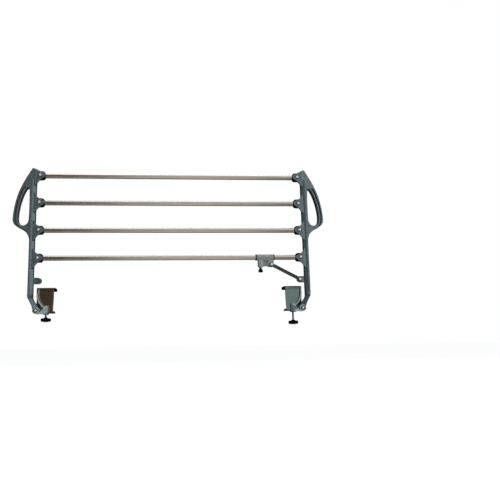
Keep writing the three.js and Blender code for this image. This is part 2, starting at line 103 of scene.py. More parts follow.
# --------------------------------------------------------------- node helpers
class Mat:
    """A node material with a Principled shader."""

    def __init__(self, name):
        self.m = bpy.data.materials.new(name)
        self.m.use_nodes = True
        t = self.m.node_tree
        self.n, self.l = t.nodes, t.links
        self.n.clear()
        self.out = self.n.new("ShaderNodeOutputMaterial")
        self.p = self.n.new("ShaderNodeBsdfPrincipled")
        self.l.new(self.p.outputs[0], self.out.inputs[0])
        self.co = self.n.new("ShaderNodeTexCoord").outputs["Object"]

    def set(self, **kw):
        for k, v in kw.items():
            self.p.inputs[k.replace("_", " ")].default_value = v

    def scaled(self, x, y, z):
        mp = self.n.new("ShaderNodeMapping")
        mp.inputs["Scale"].default_value = (x, y, z)
        self.l.new(self.co, mp.inputs["Vector"])
        return mp.outputs[0]

    def noise(self, scale, detail=2.0, rough=0.5, vec=None, distortion=0.0):
        t = self.n.new("ShaderNodeTexNoise")
        t.inputs["Scale"].default_value = scale
        t.inputs["Detail"].default_value = detail
        t.inputs["Roughness"].default_value = rough
        t.inputs["Distortion"].default_value = distortion
        self.l.new(vec or self.co, t.inputs["Vector"])
        return t.outputs["Fac"]

    def voronoi(self, scale, feature="SMOOTH_F1", smooth=0.6, vec=None):
        t = self.n.new("ShaderNodeTexVoronoi")
        t.feature = feature
        t.inputs["Scale"].default_value = scale
        if feature == "SMOOTH_F1":
            t.inputs["Smoothness"].default_value = smooth
        self.l.new(vec or self.co, t.inputs["Vector"])
        return t.outputs["Distance"]

    def math(self, op, a, b=None):
        t = self.n.new("ShaderNodeMath")
        t.operation = op
        for i, v in enumerate((a, b)):
            if v is None:
                continue
            if isinstance(v, (int, float)):
                t.inputs[i].default_value = v
            else:
                self.l.new(v, t.inputs[i])
        return t.outputs[0]

    def ramp(self, fac, stops):
        t = self.n.new("ShaderNodeValToRGB")
        e = t.color_ramp.elements
        while len(e) > 1:
            e.remove(e[-1])
        e[0].position, e[0].color = stops[0][0], rgba(stops[0][1])
        for pos, c in stops[1:]:
            x = e.new(pos)
            x.color = rgba(c)
        self.l.new(fac, t.inputs[0])
        return t.outputs[0]

    def mix(self, fac, a, b, mode="MIX"):
        t = self.n.new("ShaderNodeMix")
        t.data_type, t.blend_type = "RGBA", mode
        for i, v in ((0, fac), (6, a), (7, b)):
            if isinstance(v, (int, float)):
                t.inputs[i].default_value = v
            elif isinstance(v, (tuple, list)):
                t.inputs[i].default_value = rgba(v)
            else:
                self.l.new(v, t.inputs[i])
        return t.outputs[2]

    def range(self, v, a, b, c, d):
        t = self.n.new("ShaderNodeMapRange")
        for i, x in enumerate((a, b, c, d)):
            t.inputs[i + 1].default_value = x
        self.l.new(v, t.inputs[0])
        return t.outputs[0]

    def bump(self, height, strength, distance, prev=None):
        t = self.n.new("ShaderNodeBump")
        t.inputs["Strength"].default_value = strength
        t.inputs["Distance"].default_value = distance
        self.l.new(height, t.inputs["Height"])
        if prev is not None:
            self.l.new(prev, t.inputs["Normal"])
        return t.outputs[0]

    def link(self, v, socket):
        self.l.new(v, self.p.inputs[socket])

    def facing(self):
        """How far the surface faces front or back, in the piece's own axes."""
        g = self.n.new("ShaderNodeSeparateXYZ")
        self.l.new(self.n.new("ShaderNodeTexCoord").outputs["Normal"], g.inputs[0])
        return g.outputs["Y"]

    def edges(self, low=0.52, high=0.62, most=1.0):
        g = self.n.new("ShaderNodeNewGeometry")
        return self.range(g.outputs["Pointiness"], low, high, 0.0, most)


def srgb(c):
    return tuple((x / 255 / 12.92) if x / 255 <= 0.04045 else ((x / 255 + 0.055) / 1.055) ** 2.4 for x in c)


def rgba(c):
    return (c[0], c[1], c[2], 1.0)


# --------------------------------------------------------------- materials
# side, steep and flat set how strongly, and over which angles, sideways-facing surfaces get painted shade
def hammered(name, dark, mid, light, coat=0.3, metal=0.3, rough=(0.30, 0.48), relief=0.35, side=0.9, flat=0.92, crease_shade=0.65,
             steep=0.5, raised=None):
    """Hammer-finish paint on cast metal: small dimples, mottled tone, worn edges, painted shade round the sides and in
    creases.
    """
    m = Mat(name)
    cells = m.voronoi(430.0, smooth=0.75)
    mott = m.noise(160.0, 4.0, 0.6)
    broad = m.noise(9.0, 3.0, 0.55)
    tone = m.math("ADD", m.math("MULTIPLY", cells, 0.55), m.math("MULTIPLY", mott, 0.55))
    col = m.ramp(tone, [(0.28, srgb(dark)), (0.55, srgb(mid)), (0.82, srgb(light))])
    col = m.mix(m.range(broad, 0.35, 0.7, 0.0, 0.30), col, srgb(dark))
    edge = m.math("MULTIPLY", m.edges(0.53, 0.64), m.range(m.noise(240.0, 3.0), 0.4, 0.6, 0.2, 1.0))
    col = m.mix(m.math("MULTIPLY", edge, 0.35), col, srgb(light))
    shine = m.range(m.math("ADD", cells, m.math("MULTIPLY", mott, 0.6)), 0.2, 1.0, *rough)
    if raised:
        # the cast parts in front of the web are rougher and less metallic, and painted a much paler colour: painted
        # light for the lit look of the arm, rib and boss
        g = m.n.new("ShaderNodeSeparateXYZ")
        m.l.new(m.co, g.inputs[0])
        up = m.range(g.outputs["Y"], (16.5 - ORIGIN[1]) * 0.001, (13.0 - ORIGIN[1]) * 0.001, 0.0, 1.0)
        lit_front_colour = m.ramp(tone, [(0.28, srgb(raised[0])), (0.55, srgb(raised[1])), (0.82, srgb(raised[2]))])
        col = m.mix(up, col, lit_front_colour)
        shine = m.math("ADD", shine, m.math("MULTIPLY", up, 0.30))
        m.link(m.range(up, 0.0, 1.0, metal, raised[3]), "Metallic")
    # painted shade: surfaces that face sideways, in the piece's own axes, are painted darker, standing in for the
    # shade that falls on the sides
    face = m.math("ABSOLUTE", m.facing())
    side_shade = m.range(face, steep, flat, side, 0.0)
    # the parts in front of the web get less of the painted side shade: painted light on their shaded neck
    if raised:
        side_shade = m.math("MULTIPLY", side_shade, m.range(up, 0.0, 1.0, 1.0, 0.20))
    col = m.mix(side_shade, col, tuple(0.26 * c for c in srgb(dark)))
    # painted shade: concave creases and grooves (low pointiness) are painted darker
    col = m.mix(m.edges(0.485, 0.42, crease_shade), col, tuple(0.12 * c for c in srgb(dark)))
    m.link(col, "Base Color")
    m.link(shine, "Roughness")
    b = m.bump(cells, relief, 0.0009)
    b = m.bump(mott, relief * 0.35, 0.0006, b)
    m.link(b, "Normal")
    m.set(Coat_Weight=coat, Coat_Roughness=0.25)
    if not raised:
        m.set(Metallic=metal)
    return m.m


def polished_tube(name):
    """Polished stainless tube with fine lengthwise drawing lines and faint smears."""
    m = Mat(name)
    lines = m.noise(900.0, 3.0, 0.6, m.scaled(0.02, 1.0, 1.0))
    smear = m.noise(16.0, 3.0, 0.5, m.scaled(0.5, 1.0, 1.0))
    col = m.ramp(lines, [(0.3, (0.47, 0.435, 0.40)), (0.7, (0.61, 0.58, 0.545))])
    m.link(col, "Base Color")
    m.link(m.math("ADD", m.range(lines, 0.3, 0.7, 0.12, 0.20), m.range(smear, 0.4, 0.7, 0.0, 0.07)), "Roughness")
    m.link(m.bump(lines, 0.05, 0.0002), "Normal")
    m.set(Metallic=1.0)
    return m.m


def plated(name, dark, light, r0, r1, scratch=0.08, metal=1.0):
    """Plated steel: cloudy tone, fine scratches."""
    m = Mat(name)
    cloud = m.noise(220.0, 4.0, 0.6)
    fine = m.noise(1800.0, 2.0, 0.5, m.scaled(1.0, 0.25, 1.0))
    m.link(m.ramp(cloud, [(0.3, dark), (0.7, light)]), "Base Color")
    m.link(m.range(m.math("ADD", cloud, m.math("MULTIPLY", fine, 0.4)), 0.4, 1.0, r0, r1), "Roughness")
    m.link(m.bump(fine, scratch, 0.0002), "Normal")
    m.set(Metallic=metal)
    return m.m


def moulded(name, dark, light, r0, r1, grain=0.18, scale=1500.0, spec=0.4):
    """Moulded plastic: fine spark texture, slight sheen changes."""
    m = Mat(name)
    spark = m.noise(scale, 2.0, 0.6)
    broad = m.noise(45.0, 3.0, 0.5)
    m.link(m.mix(m.range(broad, 0.35, 0.7, 0.0, 1.0), srgb(dark), srgb(light)), "Base Color")
    m.link(m.math("ADD", m.range(spark, 0.3, 0.7, r0, r1), m.range(broad, 0.4, 0.7, 0.0, 0.06)), "Roughness")
    m.link(m.bump(spark, grain, 0.0002), "Normal")
    m.set(Specular_IOR_Level=spec)
    return m.m


PAINT = hammered("post_paint", (80, 93, 97), (112, 127, 131), (145, 160, 164), metal=0.62, coat=0.10, flat=0.955, steep=0.60)
CLAMP_PAINT = hammered("clamp_paint", (112, 138, 136), (128, 153, 151), (150, 174, 172), metal=1.0, coat=0.0,
                       rough=(0.09, 0.16), relief=0.10, side=0.95, flat=0.985, crease_shade=0.25, steep=0.84,
                       raised=((154, 170, 172), (190, 204, 206), (214, 224, 226), 0.12))
# the left clamp takes a browner copy of the clamp paint: painted reflection of the brown room on its left, the paint
# itself being the same as the right clamp's
CLAMP_PAINT_BROWN_REFLECTION = hammered("clamp_paint_brown_reflection", (118, 121, 108), (137, 137, 124), (160, 160, 148), metal=1.0, coat=0.0,
                       rough=(0.09, 0.16), relief=0.10, side=0.95, flat=0.985, crease_shade=0.25, steep=0.84,
                       raised=((154, 170, 172), (190, 204, 206), (214, 224, 226), 0.12))
SLIDER_PAINT = hammered("slider_paint", (134, 142, 142), (160, 168, 168), (186, 192, 192), side=0.3, flat=0.78)
LINK_METAL = hammered("link_metal", (40, 47, 48), (62, 70, 71), (160, 170, 172), coat=0.2, side=0.6, flat=0.78)
TUBE = polished_tube("stainless_tube")
BRIGHT = plated("bright_screws", (0.86, 0.88, 0.90), (0.95, 0.96, 0.97), 0.38, 0.48, metal=0.6)
ZINC = plated("zinc_steel", (0.34, 0.35, 0.36), (0.50, 0.51, 0.52), 0.30, 0.44)
SPRING = plated("spring_steel", (0.36, 0.37, 0.38), (0.52, 0.53, 0.54), 0.22, 0.34)
NYLON = moulded("black_nylon", (6, 6, 7), (14, 14, 16), 0.42, 0.55, spec=0.08)
COLLAR = moulded("collar_plastic", (46, 42, 46), (66, 60, 64), 0.45, 0.58)
RUBBER = moulded("jaw_rubber", (6, 6, 6), (13, 13, 14), 0.62, 0.80, grain=0.3, scale=900.0, spec=0.07)


# --------------------------------------------------------------- mesh makers
def add(name, geo, body, nodes, mat, flip=False, sharp=None):
    v, f = geo
    f = np.asarray(f)
    if flip:
        f = f[:, ::-1]
    me = bpy.data.meshes.new(name)
    me.from_pydata(to_row(v).tolist(), [], f.tolist())
    me.validate()
    me.polygons.foreach_set("use_smooth", np.ones(len(me.polygons), bool))
    if sharp:
        me.set_sharp_from_angle(angle=math.radians(sharp))
    me.materials.append(mat)
    me.update()
    o = bpy.data.objects.new(name, me)
    bpy.context.scene.collection.objects.link(o)
    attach(o, body)
    if nodes:
        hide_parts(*nodes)
    return o


def shell(f, lo, hi, h, steps=2):
    """Closed quad mesh of the surface f = 0 inside the box, f < 0 being solid."""
    lo = np.asarray(lo, float) - 1.5 * h
    n = [int(math.ceil((b + 1.5 * h - a) / h)) + 1 for a, b in zip(lo, hi)]
    ax = [lo[i] + h * np.arange(n[i]) for i in range(3)]
    field = np.broadcast_to(f(ax[0][:, None, None], ax[1][None, :, None], ax[2][None, None, :]), n)
    field = np.ascontiguousarray(field, dtype=np.float32)
    field[field == 0] = 1e-6
    inside = field < 0
    cells = [k - 1 for k in n]
    total = cells[0] * cells[1] * cells[2]
    lins, points, faces = [], [], []
    for a in range(3):
        s0 = [slice(None)] * 3
        s1 = [slice(None)] * 3
        s0[a], s1[a] = slice(0, -1), slice(1, None)
        one = inside[tuple(s0)]
        idx = np.argwhere(one != inside[tuple(s1)])
        nxt = idx.copy()
        nxt[:, a] += 1
        f0, f1 = field[tuple(idx.T)], field[tuple(nxt.T)]
        p = idx.astype(float)
        p[:, a] += f0 / (f0 - f1)
        out = one[tuple(idx.T)]
        b, c = (a + 1) % 3, (a + 2) % 3
        around = []
        for db, dc in ((-1, -1), (0, -1), (0, 0), (-1, 0)):
            q = idx.copy()
            q[:, b] += db
            q[:, c] += dc
            lin = (q[:, 0] * cells[1] + q[:, 1]) * cells[2] + q[:, 2]
            around.append(lin)
            lins.append(lin)
            points.append(p)
        quad = np.stack(around, 1)
        quad[~out] = quad[~out][:, ::-1]
        faces.append(quad)
    lins, points, faces = np.concatenate(lins), np.concatenate(points), np.concatenate(faces)
    used, inv = np.unique(lins, return_inverse=True)
    count = np.bincount(inv)
    v = np.stack([np.bincount(inv, points[:, k]) / count for k in range(3)], 1) * h + lo
    index = np.full(total, -1, dtype=np.int64)
    index[used] = np.arange(len(used))
    faces = index[faces]
    e = 0.05
    for _ in range(steps):
        x, y, z = v[:, 0], v[:, 1], v[:, 2]
        d = f(x, y, z)
        g = np.stack([f(x + e, y, z) - d, f(x, y + e, z) - d, f(x, y, z + e) - d], 1) / e
        gg = np.maximum((g * g).sum(1), 0.25)
        move = -(d / gg)[:, None] * g
        size = np.maximum(np.linalg.norm(move, axis=1), 1e-9)
        move *= np.minimum(1.0, 0.6 * h / size)[:, None]
        v = v + move
    return v, faces


def ln(*a):
    return np.sqrt(sum(x * x for x in a))


def poly2(x, z, pts):
    """Signed distance to a closed outline, negative inside."""
    d = None
    s = None
    n = len(pts)
    for i in range(n):
        ax, az = pts[i]
        bx, bz = pts[i - 1]
        ex, ez = bx - ax, bz - az
        wx, wz = x - ax, z - az
        t = np.clip((wx * ex + wz * ez) / (ex * ex + ez * ez), 0, 1)
        q = (wx - ex * t) ** 2 + (wz - ez * t) ** 2
        c1, c2, c3 = z >= az, z < bz, (ex * wz) > (ez * wx)
        turn = (c1 & c2 & c3) | (~c1 & ~c2 & ~c3)
        d = q if d is None else np.minimum(d, q)
        s = np.where(turn, -1.0, 1.0) if s is None else s * np.where(turn, -1.0, 1.0)
    return s * np.sqrt(d)


def smin(a, b, k):
    h = np.clip(0.5 + 0.5 * (b - a) / k, 0, 1)
    return b * (1 - h) + a * h - k * h * (1 - h)


def smax(a, b, k):
    return -smin(-a, -b, k)


def ext(d2, dy, r):
    """Solid where both distances are negative, its edge rounded to r."""
    a, b = d2 + r, dy + r
    return np.minimum(np.maximum(a, b), 0) + np.sqrt(np.maximum(a, 0) ** 2 + np.maximum(b, 0) ** 2) - r


def slab(v, a, b):
    return np.abs(v - (a + b) / 2) - abs(b - a) / 2


def rbox(x, y, z, x0, x1, y0, y1, z0, z1, r):
    a, b, c = slab(x, x0, x1) + r, slab(y, y0, y1) + r, slab(z, z0, z1) + r
    return (np.minimum(np.maximum(np.maximum(a, b), c), 0)
            + np.sqrt(np.maximum(a, 0) ** 2 + np.maximum(b, 0) ** 2 + np.maximum(c, 0) ** 2) - r)


def rod(u, v, t, cu, cv, r, t0, t1, rd=0.6):
    """Round rod of radius r about (cu, cv), running from t0 to t1."""
    return ext(ln(u - cu, v - cv) - r, slab(t, t0, t1), rd)


def seg2(x, z, ax, az, bx, bz):
    ex, ez = bx - ax, bz - az
    t = np.clip(((x - ax) * ex + (z - az) * ez) / (ex * ex + ez * ez), 0, 1)
    return ln(x - ax - ex * t, z - az - ez * t)


def softened(pts, seg=7.0, rounds=2):
    """Outline with long sides split and every corner eased."""
    out = []
    n = len(pts)
    for i in range(n):
        a, b = np.array(pts[i], float), np.array(pts[(i + 1) % n], float)
        k = max(1, int(np.linalg.norm(b - a) / seg))
        # keep points near the ends only: a straight run needs no more
        ts = [0.0] if k == 1 else [0.0, 1.0 / k, 1.0 - 1.0 / k]
        for t in sorted(set(ts)):
            out.append(a + (b - a) * t)
    for _ in range(rounds):
        new = []
        for i in range(len(out)):
            a, b = out[i], out[(i + 1) % len(out)]
            new += [a * 0.75 + b * 0.25, a * 0.25 + b * 0.75]
        out = new
    # drop points that lie on a straight run
    keep = []
    for i in range(len(out)):
        a, b, c = out[i - 1], out[i], out[(i + 1) % len(out)]
        u, w = b - a, c - b
        if abs(u[0] * w[1] - u[1] * w[0]) > 1e-3 * np.linalg.norm(u) * np.linalg.norm(w) or np.linalg.norm(c - a) > 40:
            keep.append((b[0], b[1]))
    return keep


def arc_fillet(pts, radii, k=5):
    """Open profile with its inner corners rounded."""
    out = [pts[0]]
    for i in range(1, len(pts) - 1):
        p, a, b = np.array(pts[i], float), np.array(pts[i - 1], float), np.array(pts[i + 1], float)
        r = radii if isinstance(radii, (int, float)) else radii[i]
        u, w = a - p, b - p
        lu, lw = np.linalg.norm(u), np.linalg.norm(w)
        if r <= 0 or lu < 1e-9 or lw < 1e-9:
            out.append(tuple(p))
            continue
        u, w = u / lu, w / lw
        ang = math.acos(max(-1, min(1, float(u @ w))))
        t = min(r / math.tan(ang / 2), lu * 0.48, lw * 0.48)
        rr = t * math.tan(ang / 2)
        if ang > math.radians(176):
            out.append(tuple(p))
            continue
        cen = p + (u + w) / np.linalg.norm(u + w) * (rr / math.sin(ang / 2))
        s, e = p + u * t - cen, p + w * t - cen
        full = math.acos(max(-1, min(1, float(s @ e) / (rr * rr))))
        for j in range(k + 1):
            q = j / k
            v = (math.sin((1 - q) * full) * s + math.sin(q * full) * e) / math.sin(full)
            out.append(tuple(cen + v))
    out.append(pts[-1])
    return out


def revolve(profile, n, axis, centre):
    """Turned piece. profile is (radius, along), from axis to axis or closed on itself."""
    prof = np.array(profile, float)
    closed = prof[0][0] > 1e-6
    m = len(prof)
    ang = np.arange(n) / n * 2 * math.pi
    r, a = prof[:, 0][:, None], prof[:, 1][:, None]
    c, s = r * np.cos(ang), r * np.sin(ang)
    al = np.repeat(a, n, 1)
    if axis == "Z":
        v = np.stack([c + centre[0], s + centre[1], al], -1)
    elif axis == "Y":
        v = np.stack([s + centre[0], al, c + centre[1]], -1)
    else:
        v = np.stack([al, c + centre[0], s + centre[1]], -1)
    v = v.reshape(-1, 3)
    faces = []
    rows = range(m) if closed else range(m - 1)
    for i in rows:
        j = (i + 1) % m
        for k in range(n):
            l = (k + 1) % n
            quad = [i * n + k, i * n + l, j * n + l, j * n + k]
            if prof[i][0] <= 1e-6:
                quad = [i * n, j * n + l, j * n + k]
            elif prof[j][0] <= 1e-6:
                quad = [i * n + k, i * n + l, j * n]
            faces.append(quad)
    # tidy: one vertex on the axis, outward faces
    used = sorted({i for q in faces for i in q})
    back = {o: i for i, o in enumerate(used)}
    faces = [[back[i] for i in q] for q in faces]
    v = v[used]
    vol = 0.0
    for q in faces:
        for t in range(1, len(q) - 1):
            vol += float(np.dot(v[q[0]], np.cross(v[q[t]], v[q[t + 1]])))
    if vol < 0:
        faces = [q[::-1] for q in faces]
    return v, faces


def add_list(name, geo, body, nodes, mat, sharp=None):
    """As add(), for faces of mixed length."""
    v, f = geo
    me = bpy.data.meshes.new(name)
    me.from_pydata(to_row(v).tolist(), [], f)
    me.validate()
    me.polygons.foreach_set("use_smooth", np.ones(len(me.polygons), bool))
    if sharp:
        me.set_sharp_from_angle(angle=math.radians(sharp))
    me.materials.append(mat)
    me.update()
    o = bpy.data.objects.new(name, me)
    bpy.context.scene.collection.objects.link(o)
    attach(o, body)
    if nodes:
        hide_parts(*nodes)
    return o


def moved(geo, dx=0.0, dy=0.0, dz=0.0):
    v, f = geo
    return v + np.array([dx, dy, dz]), f


def mirrored(geo, s):
    """Side-local (outward, y, up) to the working layout."""
    v, f = geo
    w = v.copy()
    w[:, 0] = s * (SPAN + v[:, 0])
    return w, f


# --------------------------------------------------------------- posts
OUTLINE = [
    (-9.5, 7.0), (-4.2, 18), (8, 34), (13.4, 45.5), (13.4, 539.4), (20.5, 543.1), (24.6, 545.2), (27.4, 545.6),
    (29.6, 544.2), (31.4, 541.6), (33.5, 538), (41.8, 524), (51.2, 508), (59.8, 491.5), (67.7, 475), (74.7, 459),
    (80.7, 442), (85.3, 426), (89, 410), (92.4, 393), (94.8, 376), (96.4, 360), (97.2, 346), (96.6, 335),
    (92.6, 326), (85, 318.5), (73, 311), (59.5, 303.8), (47.5, 295), (40.4, 286.5), (36.4, 277),
    (34.2, 268), (33.4, 259), (33.4, 52), (32, 46), (24.6, 33), (16.8, 18), (11.4, -1.0)]
OPENING = [
    (39, 463.5), (42.8, 466.2), (46.6, 464.6), (50.5, 459), (58.2, 443), (63.7, 427), (68.5, 411),
    (72.2, 395), (74.9, 378), (76.7, 361), (76.9, 347), (75.6, 335.5), (71.8, 327.5), (65.5, 322),
    (58.5, 320), (51, 321.6), (44.8, 326.2), (40.2, 333), (38, 344), (37.3, 370), (37.3, 430)]
OUTLINE_S = softened(OUTLINE, 6.0, 2)
OPENING_S = softened(OPENING, 6.0, 2)
LUG_W, LUG_H = -6.0, 110.0


def cheek_outline(z, top):
    """Joint cheek: a pointed plate that narrows to the tube's own width."""
    pts = [(20, z - 43), (13.4, z - 38), (8, z - 29), (1, z - 20.8), (-7.5, z - 14), (-13.5, z - 10.2),
           (-18.4, z - 6.2), (-18.8, z + 4.6), (-14, z + 7.6)]
    if top:
        pts += [(-7.5, z + 11.2), (4, z + 17.2), (14, z + 22.2), (22, z + 26)]
    else:
        pts += [(-6, z + 11.4), (2.5, z + 15.8), (8, z + 20.5), (11.8, z + 26), (13.4, z + 33), (20, z + 35)]
    return pts


CHEEKS = [softened(cheek_outline(z, i == 0), 9.0, 1) for i, z in enumerate(TUBE_Z)]


def post_field(w, y, h):
    o, i = poly2(w, h, OUTLINE_S), poly2(w, h, OPENING_S)
    body = ext(np.maximum(o, -i), np.abs(y + 5) - 11, 3.2)
    # the shaft's front falls away to its inner side, above the leg
    fall = (w - 26.0) * -0.5 + (y + 16) * -0.866 - np.maximum(0, 60 - h) * 0.8 - np.maximum(0, h - 500) * 0.6
    body = smax(body, fall, 2.0)
    # and the leg's front slopes the same way
    across = (w - 16.0) * -0.894 + (h - 29.0) * 0.447
    slope = (across + 7.5) * 0.5 - (y + 16) * 0.866 - np.maximum(0, h - 44) * 0.7 - np.maximum(0, 10 - h) * 0.5
    body = smax(body, slope, 2.0)
    # grip groove round the finger opening, on the strap's front
    ring = np.abs(i - 10.8) - 2.3
    strap = np.maximum(np.maximum(36 - w, h - 470), 318 - h)
    body = smax(body, -np.maximum(np.maximum(ring, slab(y, -20, -10.0)), strap), 0.6)
    # eased edge along the strap's inner side
    ease = (i - 2.6) * -0.74 - (y + 16) * 0.67
    body = smax(body, np.minimum(ease, -0.5 * strap), 1.2)
    # bevel along the outer side, wider round the handle
    wide = 1.3 + 0.5 * np.clip((h - 300) / 20, 0, 1)
    rim = (o + wide) * 0.80 - (y + 16) * 0.60
    body = smax(body, np.minimum(rim, np.minimum(w - 26, h - 40)), 1.0)
    # channel down the leg's front
    leg = seg2(w, h, 22, 42, 9.5, 17) - 2.8
    body = smax(body, -np.maximum(leg, slab(y, -20, -13.6)), 1.6)
    for k, z in enumerate(TUBE_Z):
        c = ext(poly2(w, h, CHEEKS[k]), np.abs(y + 13) - 3, 1.1)
        r = ln(w, h - z)
        c = smin(c, ext(r - 9.6, slab(y, -17.6, -10), 0.8), 1.4)
        body = smin(body, c, 2.0)
    for z in TUBE_Z:
        r = ln(w, h - z)
        body = smax(body, -np.maximum(r - 19, -10 - y), 1.0)
        body = smax(body, -np.maximum(r - 6.7, y + 15.1), 0.5)
        body = np.maximum(body, -(r - 4.5))
    # brace lug
    l2 = smin(ln(w - LUG_W, h - LUG_H) - 11, ext(slab(w, LUG_W, 22), slab(h, LUG_H - 12.2, LUG_H + 12.2), 0.5), 2.0)
    lug = ext(l2, slab(y, -8, 0), 0.9)
    pocket = ext(l2 + 3.2, slab(y, -12, -6.6), 0.8)
    pocket = smax(pocket, -(ln(w - LUG_W, h - LUG_H) - 6.2), 0.8)
    pocket = np.maximum(pocket, w - 16)
    lug = smax(lug, -pocket, 0.6)
    body = smin(body, lug, 2.2)
    # screw hole, its far end closed with a skin of paint
    body = np.maximum(body, -np.maximum(ln(w - LUG_W, h - LUG_H) - 2.7, y + 1.2))
    # fold eye
    r0 = ln(w, h)
    body = smax(body, -np.maximum(r0 - 13.8, y + 12), 0.9)
    body = smax(body, -np.maximum(r0 - 13.8, 2 - y), 0.9)
    eye = ext(r0 - 12, slab(y, -12, 2), 1.0)
    body = smin(body, eye, 1.0)
    return np.maximum(body, -(r0 - 7.0))


POST = shell(post_field, (-19, -19, -14), (99, 7, 548), 1.15)
for side, s in SIDES:
    add(f"{side}_post_casting", mirrored(POST, s), f"{side}_post", [f"{side}_post"], PAINT, flip=s < 0)
    prof = arc_fillet([(5.3, -11.9), (6.6, -11.9), (6.6, 1.9), (5.3, 1.9)], 0.4)
    add_list(f"{side}_eye_bush", revolve(prof, 40, "Y", (s * SPAN, 0)), f"{side}_post",
             [f"{side}_fold_bush"], NYLON, 40)


# --------------------------------------------------------------- joint screws and nuts
def pan_screw(y0, head_r, under, shank_r, end, cross):
    """Pan head with a cross recess, its face towards -Y, and a threaded tail."""
    def f(x, y, z):
        r = ln(x, z)
        ball = ln(x, y - (y0 + 9.5), z) - 9.5
        head = smax(ext(r - head_r, slab(y, y0, under), 0.5), ball, 0.8)
        arm = np.minimum(rbox(x, y, z, -cross, cross, y0 - 2, y0 + 2.1, -0.75, 0.75, 0.2),
                         rbox(x, y, z, -0.75, 0.75, y0 - 2, y0 + 2.1, -cross, cross, 0.2))
        head = smax(head, -arm, 0.25)
        groove = 0.28 * np.abs(((y / 1.25 + np.arctan2(z, x) / (2 * math.pi)) % 1.0) * 2 - 1) * (y > 0)
        shank = ext(r - shank_r + groove, slab(y, under - 1, end), 0.5)
        return np.minimum(head, shank)
    return f


def hex_nut(across, y0, y1, bore, collar):
    def f(x, y, z):
        q = np.maximum(np.abs(z), np.maximum(np.abs(x * 0.8660254 + z * 0.5), np.abs(x * 0.8660254 - z * 0.5)))
        r = ln(x, z)
        body = ext(q - across / 2, slab(y, y0, y1 - collar), 0.35)
        body = smax(body, r + (y - (y1 - collar)) * 1.2 - across * 0.535, 0.3)
        body = smax(body, r - (y - y0) * 1.2 - across * 0.54, 0.3)
        ring = ext(r - across * 0.40, slab(y, y0, y1), 0.5)
        return smax(smin(body, ring, 0.4), -(r - bore), 0.2)
    return f


SCREW = shell(pan_screw(-18.9, 5.2, -15.3, 3.95, 13.4, 2.7), (-5.3, -19, -5.3), (5.3, 13.5, 5.3), 0.36)
NUT = shell(hex_nut(13.0, 7.8, 12.8, 4.3, 1.2), (-7.6, 7.6, -7.6), (7.6, 12.9, 7.6), 0.4)


def knuckle_field(w, y, h):
    """Moulded end knuckle: round boss squared off to the tube's end, ribbed spigot inside it. w runs outward."""
    r = ln(w, h)
    block = np.maximum(np.maximum(slab(w, -19.8, -2), slab(h, -16.2, 16.2)), r - 20.0)
    disc = ext(smin(r - 16.8, block, 1.0), slab(y, -9.7, 7.5), 1.2)
    # bore that laps over the tube's end
    disc = np.maximum(disc, -np.maximum(ln(y, h) - 9.8, slab(w, -26, -17.3)))
    # shallow turned recess on both faces
    for a, b in ((-12, -8.7), (6.5, 10)):
        disc = smax(disc, -np.maximum(np.abs(r - 11.4) - 2.2, slab(y, a, b)), 0.5)
    spigot = ext(ln(y, h) - 7.9, slab(w, -50, -10), 1.2)
    for k in range(4):
        spigot = smax(spigot, -(np.abs(w + 25 + 6 * k) - 0.8 + np.maximum(0, 7.2 - ln(y, h))), 0.3)
    return np.maximum(np.minimum(disc, spigot), -(r - 4.35))


KNUCKLE = shell(knuckle_field, (-50, -9.8, -17), (17, 7.6, 17), 0.8)
for side, s in SIDES:
    for i, z in enumerate(TUBE_Z):
        n = i + 1
        add(f"{side}_pan_screw_{n}", moved(SCREW, s * SPAN, 0, z), f"{side}_post",
            [f"{side}_joint_screw_{n}"], BRIGHT)
        add(f"{side}_lock_nut_{n}", moved(NUT, s * SPAN, 0, z), f"{side}_post",
            [f"{side}_joint_nut_{n}"], ZINC)
        add(f"{side}_end_knuckle_{n}", moved(mirrored(KNUCKLE, s), 0, 0, z), f"rail_{n}",
            [f"{side}_knuckle_{n}"], NYLON, flip=s < 0)


# --------------------------------------------------------------- tubes
def tube_geo(z):
    a, b = -SPAN + 17.6, SPAN - 17.6
    prof = []
    for x, e in ((a, 1), (b, -1)):
        ring = [(8.4, x + e * 6), (8.4, x + e * 0.5), (8.7, x), (9.1, x), (9.38, x + e * 0.14), (9.5, x + e * 0.5)]
        prof.append(ring)
    first, second = prof
    outer = [(9.5, a + 3)] + [(9.5, a + (b - a) * k / 12) for k in range(1, 12)] + [(9.5, b - 3)]
    closed = first + outer + second[::-1]
    return revolve(closed, 64, "X", (0, z))


for i, z in enumerate(TUBE_Z):
    o = add_list(f"rail_tube_{i + 1}", tube_geo(z), f"rail_{i + 1}", [f"tube_{i + 1}"], TUBE, 35)
    if i == 3:
        for u in (156.0, 247.5):
            v, f = revolve([(0, z - 14), (4.4, z - 14), (4.4, z - 4), (0, z - 4)], 40, "Z", (SPAN - u, 0))
            me = bpy.data.meshes.new("lock_hole")
            me.from_pydata(to_row(v).tolist(), [], f)
            c = bpy.data.objects.new("lock_hole", me)
            bpy.context.scene.collection.objects.link(c)
            md = o.modifiers.new("hole", "BOOLEAN")
            md.operation, md.object, md.solver = "DIFFERENCE", c, "EXACT"
            bpy.context.view_layer.update()
            dg = bpy.context.evaluated_depsgraph_get()
            new = bpy.data.meshes.new_from_object(o.evaluated_get(dg))
            o.modifiers.clear()
            o.data = new
            new.set_sharp_from_angle(angle=math.radians(35))
            bpy.data.objects.remove(c)


# --------------------------------------------------------------- clamps
def polyline(x, z, pts):
    d = None
    for (ax, az), (bx, bz) in zip(pts, pts[1:]):
        q = seg2(x, z, ax, az, bx, bz)
        d = q if d is None else np.minimum(d, q)
    return d


